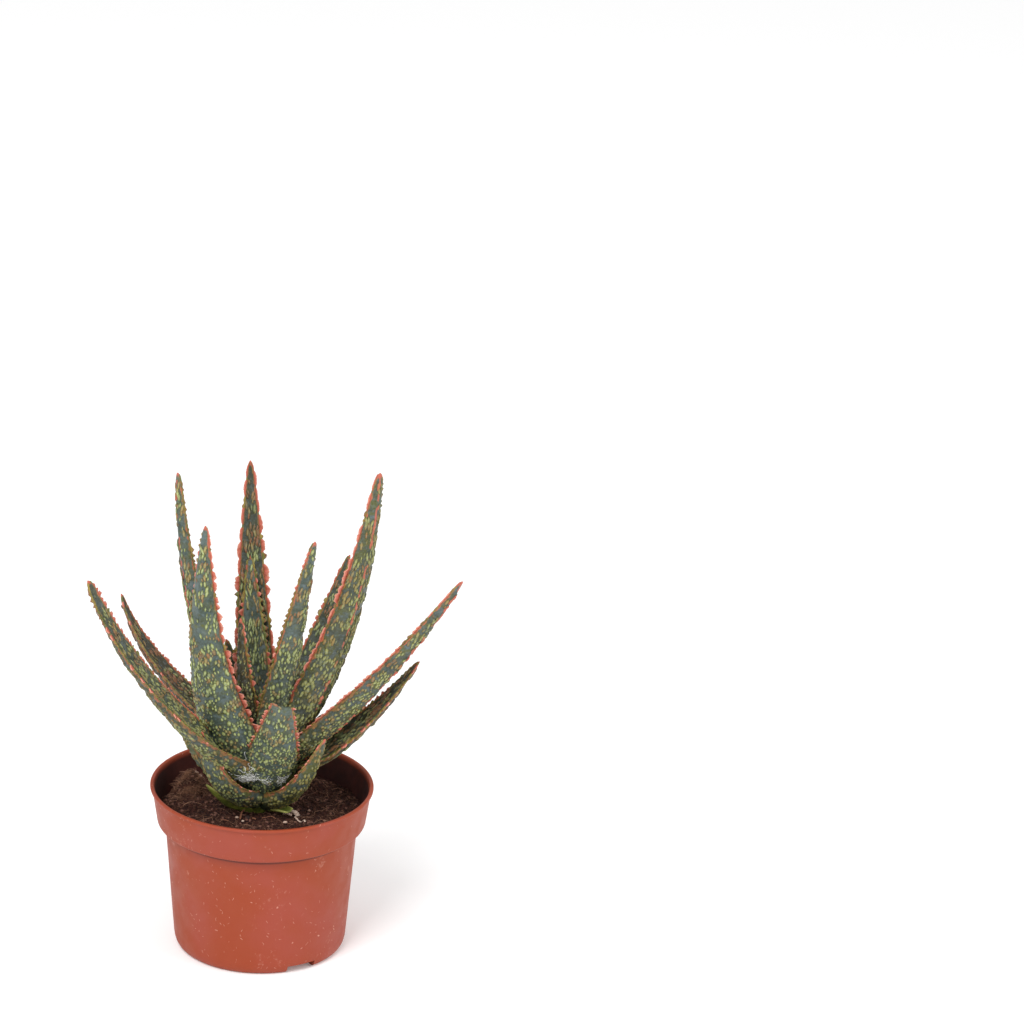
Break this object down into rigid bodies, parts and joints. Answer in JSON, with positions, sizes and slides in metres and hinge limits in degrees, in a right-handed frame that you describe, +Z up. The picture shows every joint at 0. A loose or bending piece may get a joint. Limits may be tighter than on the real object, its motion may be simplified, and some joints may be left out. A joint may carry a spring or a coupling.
{
  "type": "potted aloe",
  "caption": "Small aloe with spotted, tooth-edged leaves in a round plastic nursery pot filled with soil; it stands on its foot.",
  "frame": {"origin": "middle of the pad under the pot, on the surface that the pot stands on", "axes": "+Z up along the pot's axis; -Y towards the side that the plant is looked at from, +X to its right"},
  "size_m": [0.1705, 0.1249, 0.2532],
  "materials": {
    "pot_plastic": "satin",
    "potting_soil": "matte",
    "leaf_skin": "satin",
    "stem_bark": "matte",
    "dry_leaf": "matte"
  },
  "bodies": {
    "root": {"pot": "pot_plastic", "soil": "potting_soil", "stem": "stem_bark", "leaf_heart_front": "leaf_skin", "leaf_heart_back": "leaf_skin", "leaf_crown_back": "leaf_skin", "leaf_crown_right": "leaf_skin", "leaf_side_left": "leaf_skin", "leaf_back_right": "leaf_skin", "leaf_side_right": "leaf_skin", "leaf_crown_left": "leaf_skin", "leaf_back_left": "leaf_skin", "leaf_back_inner": "leaf_skin", "leaf_back_middle": "leaf_skin", "leaf_outer_right": "leaf_skin", "leaf_outer_left": "leaf_skin", "leaf_front_short": "leaf_skin", "leaf_low_right": "leaf_skin", "leaf_old_right": "leaf_skin", "leaf_low_back": "leaf_skin", "leaf_low_back_left": "leaf_skin", "leaf_low_back_right": "leaf_skin", "leaf_foot_left": "leaf_skin", "leaf_foot_right": "leaf_skin", "leaf_foot_side": "leaf_skin", "cut_leaf_blade": "dry_leaf", "leaf_stub_front": "dry_leaf", "leaf_stub_right": "dry_leaf"}
  },
  "joints": []
}
